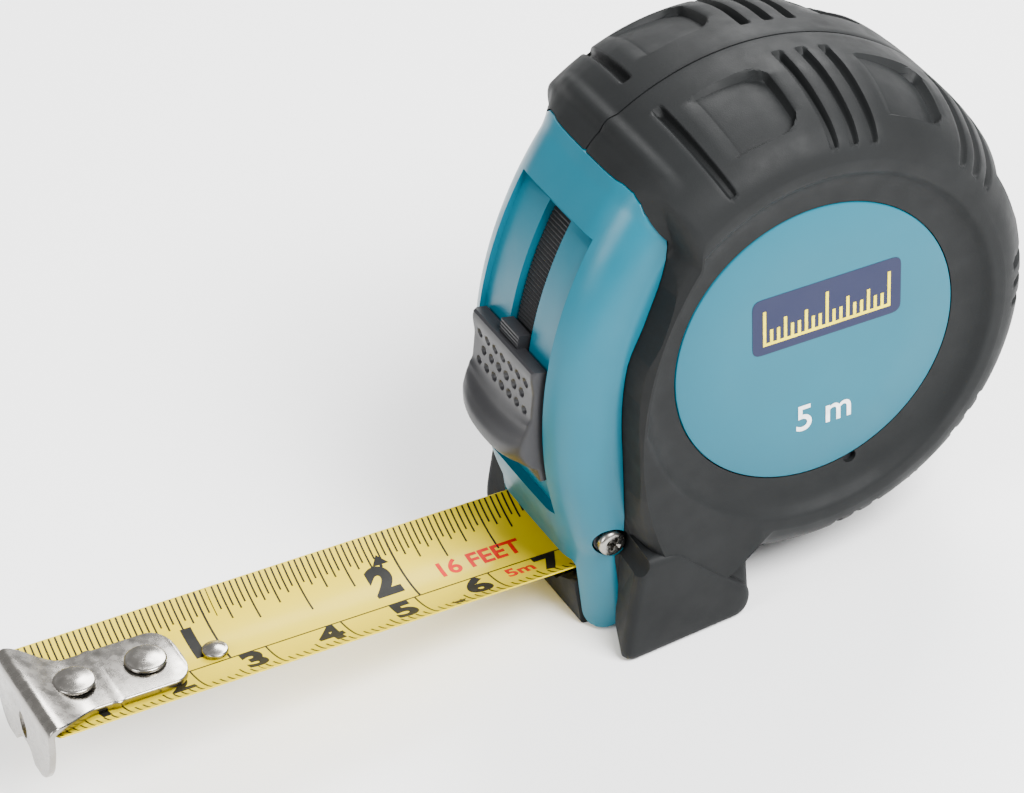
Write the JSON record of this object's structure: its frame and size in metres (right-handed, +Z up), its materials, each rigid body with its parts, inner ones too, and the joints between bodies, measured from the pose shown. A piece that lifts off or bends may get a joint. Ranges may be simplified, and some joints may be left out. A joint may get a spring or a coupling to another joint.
{
  "type": "tape measure",
  "caption": "Pocket tape measure in a round rubber-gripped case, with a curved steel blade drawn out and locked, a riveted end hook, a sliding thumb lock and a belt clip.",
  "frame": {"origin": "on the flat base, under the axis of the reel and midway between the two sides", "axes": "+X the way the blade is drawn out, +Y towards the left label, +Z up"},
  "size_m": [0.1339, 0.0421, 0.0677],
  "materials": {
    "left_grip": "matte charcoal",
    "left_shell": "moulded",
    "left_label": "printed film",
    "left_cover_screw": "nickel plated",
    "left_centre_screw": "zinc plated",
    "right_grip": "matte charcoal",
    "right_shell": "moulded",
    "right_label": "printed film",
    "right_cover_screw": "nickel plated",
    "right_centre_screw": "zinc plated",
    "front_cover": "semi-gloss",
    "mouth_bumper": "matte",
    "centre_post": "turned",
    "belt_clip": "nickel plated spring steel",
    "belt_clip_screw": "zinc plated",
    "reel_drum": "moulded",
    "drum_cover": "moulded",
    "blade_coil": "lacquered",
    "recoil_spring": "blued",
    "blade_end": "lacquered, printed scale",
    "blade_run": "lacquered, printed scale",
    "blade_backing": "plain",
    "front_rivet": "nickel plated",
    "rear_rivet": "nickel plated",
    "backing_rivet": "nickel plated",
    "end_hook": "nickel plated",
    "lock_button": "fine texture",
    "lock_strip": "ribbed",
    "brake_pad": "moulded"
  },
  "bodies": {
    "case": {"left_grip": "left_grip", "right_grip": "right_grip", "left_shell": "left_shell", "right_shell": "right_shell", "left_label": "left_label", "right_label": "right_label", "front_cover": "front_cover", "mouth_bumper": "mouth_bumper", "centre_post": "centre_post", "left_cover_screw": "left_cover_screw", "right_cover_screw": "right_cover_screw", "left_centre_screw": "left_centre_screw", "right_centre_screw": "right_centre_screw", "belt_clip": "belt_clip", "belt_clip_screw": "belt_clip_screw"},
    "reel": {"reel_drum": "reel_drum", "drum_cover": "drum_cover", "blade_coil": "blade_coil", "recoil_spring": "recoil_spring"},
    "blade": {"blade_end": "blade_end", "blade_run": "blade_run", "blade_backing": "blade_backing", "front_rivet": "front_rivet", "rear_rivet": "rear_rivet", "backing_rivet": "backing_rivet"},
    "hook": {"end_hook": "end_hook"},
    "lock": {"lock_button": "lock_button", "lock_strip": "lock_strip", "brake_pad": "brake_pad"}
  },
  "joints": [
    {"name": "blade_pull", "type": "slide", "parent": "case", "child": "blade", "axis": [0.9951, 0, 0.0993], "range_m": [-0.063, 0], "deforming": ["blade_run"]},
    {"name": "reel_spin", "type": "hinge", "parent": "case", "child": "reel", "pos_m": [0, 0, 0.0349], "axis": [0, 1, 0], "range_deg": [0, 141]},
    {"name": "hook_play", "type": "slide", "parent": "blade", "child": "hook", "axis": [0.9951, 0, 0.0993], "range_m": [-0.0004, 0.0005]},
    {"name": "lock_slide", "type": "hinge", "parent": "case", "child": "lock", "pos_m": [-0.0173, 0, 0.025], "axis": [0, -1, 0], "range_deg": [0, 10]}
  ],
  "couplings": [
    {"joint": "blade_pull", "follows": "reel_spin", "m_per_rad": -0.0256}
  ]
}
